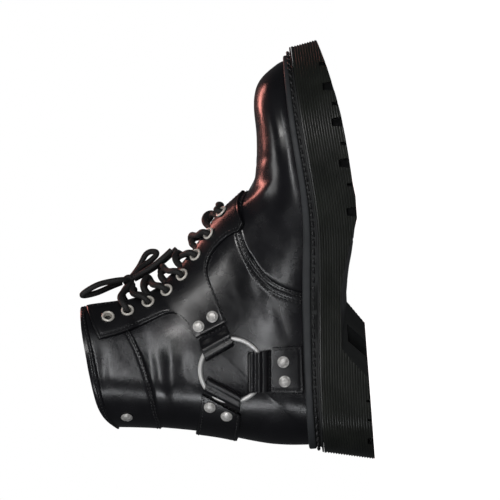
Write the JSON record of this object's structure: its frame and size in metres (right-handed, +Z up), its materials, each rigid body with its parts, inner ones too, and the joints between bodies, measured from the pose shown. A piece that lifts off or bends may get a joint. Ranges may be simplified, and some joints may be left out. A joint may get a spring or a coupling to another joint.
{
  "type": "harness ankle boot",
  "caption": "Right lace-up ankle boot in black leather with a strapped ring harness each side, a hollow upper, a grey welt and a thick ribbed lug sole",
  "frame": {"origin": "on the floor, at the middle of the heel's flat underside", "axes": "+X to the toe, +Y to the inner (medial) side, +Z up"},
  "size_m": [0.2893, 0.1082, 0.1929],
  "materials": {
    "black_leather": "polished",
    "lining": "matte",
    "sole_rubber": "matte",
    "welt_rubber": "matte",
    "lace_cord": "woven",
    "ring_metal": "worn",
    "eyelet_metal": "satin"
  },
  "bodies": {
    "root": {"outsole": "sole_rubber", "welt": "welt_rubber", "upper": "black_leather", "tongue": "black_leather", "insole": "lining", "heel_strap": "black_leather", "eyestay_lateral": "black_leather", "side_strap_lateral": "black_leather", "ring_lateral": "ring_metal", "instep_loop_lateral": "black_leather", "side_loop_lateral": "black_leather", "heel_loop_lateral": "black_leather", "rivet_instep_low_lateral": "ring_metal", "rivet_instep_high_lateral": "ring_metal", "rivet_side_fore_lateral": "ring_metal", "rivet_side_rear_lateral": "ring_metal", "rivet_heel_high_lateral": "ring_metal", "rivet_heel_low_lateral": "ring_metal", "rivet_cuff_lateral": "ring_metal", "eyelet_1_lateral": "eyelet_metal", "eyelet_2_lateral": "eyelet_metal", "eyelet_3_lateral": "eyelet_metal", "eyelet_4_lateral": "eyelet_metal", "eyelet_5_lateral": "eyelet_metal", "eyelet_6_lateral": "eyelet_metal", "eyelet_7_lateral": "eyelet_metal", "eyelet_8_lateral": "eyelet_metal", "eyestay_medial": "black_leather", "side_strap_medial": "black_leather", "ring_medial": "ring_metal", "instep_loop_medial": "black_leather", "side_loop_medial": "black_leather", "heel_loop_medial": "black_leather", "rivet_instep_low_medial": "ring_metal", "rivet_instep_high_medial": "ring_metal", "rivet_side_fore_medial": "ring_metal", "rivet_side_rear_medial": "ring_metal", "rivet_heel_high_medial": "ring_metal", "rivet_heel_low_medial": "ring_metal", "rivet_cuff_medial": "ring_metal", "eyelet_1_medial": "eyelet_metal", "eyelet_2_medial": "eyelet_metal", "eyelet_3_medial": "eyelet_metal", "eyelet_4_medial": "eyelet_metal", "eyelet_5_medial": "eyelet_metal", "eyelet_6_medial": "eyelet_metal", "eyelet_7_medial": "eyelet_metal", "eyelet_8_medial": "eyelet_metal", "lace_crossings": "lace_cord", "lace_knot": "lace_cord", "lace_loop_lateral": "lace_cord", "lace_loop_medial": "lace_cord", "lace_end_lateral": "lace_cord", "lace_end_medial": "lace_cord"}
  },
  "joints": []
}
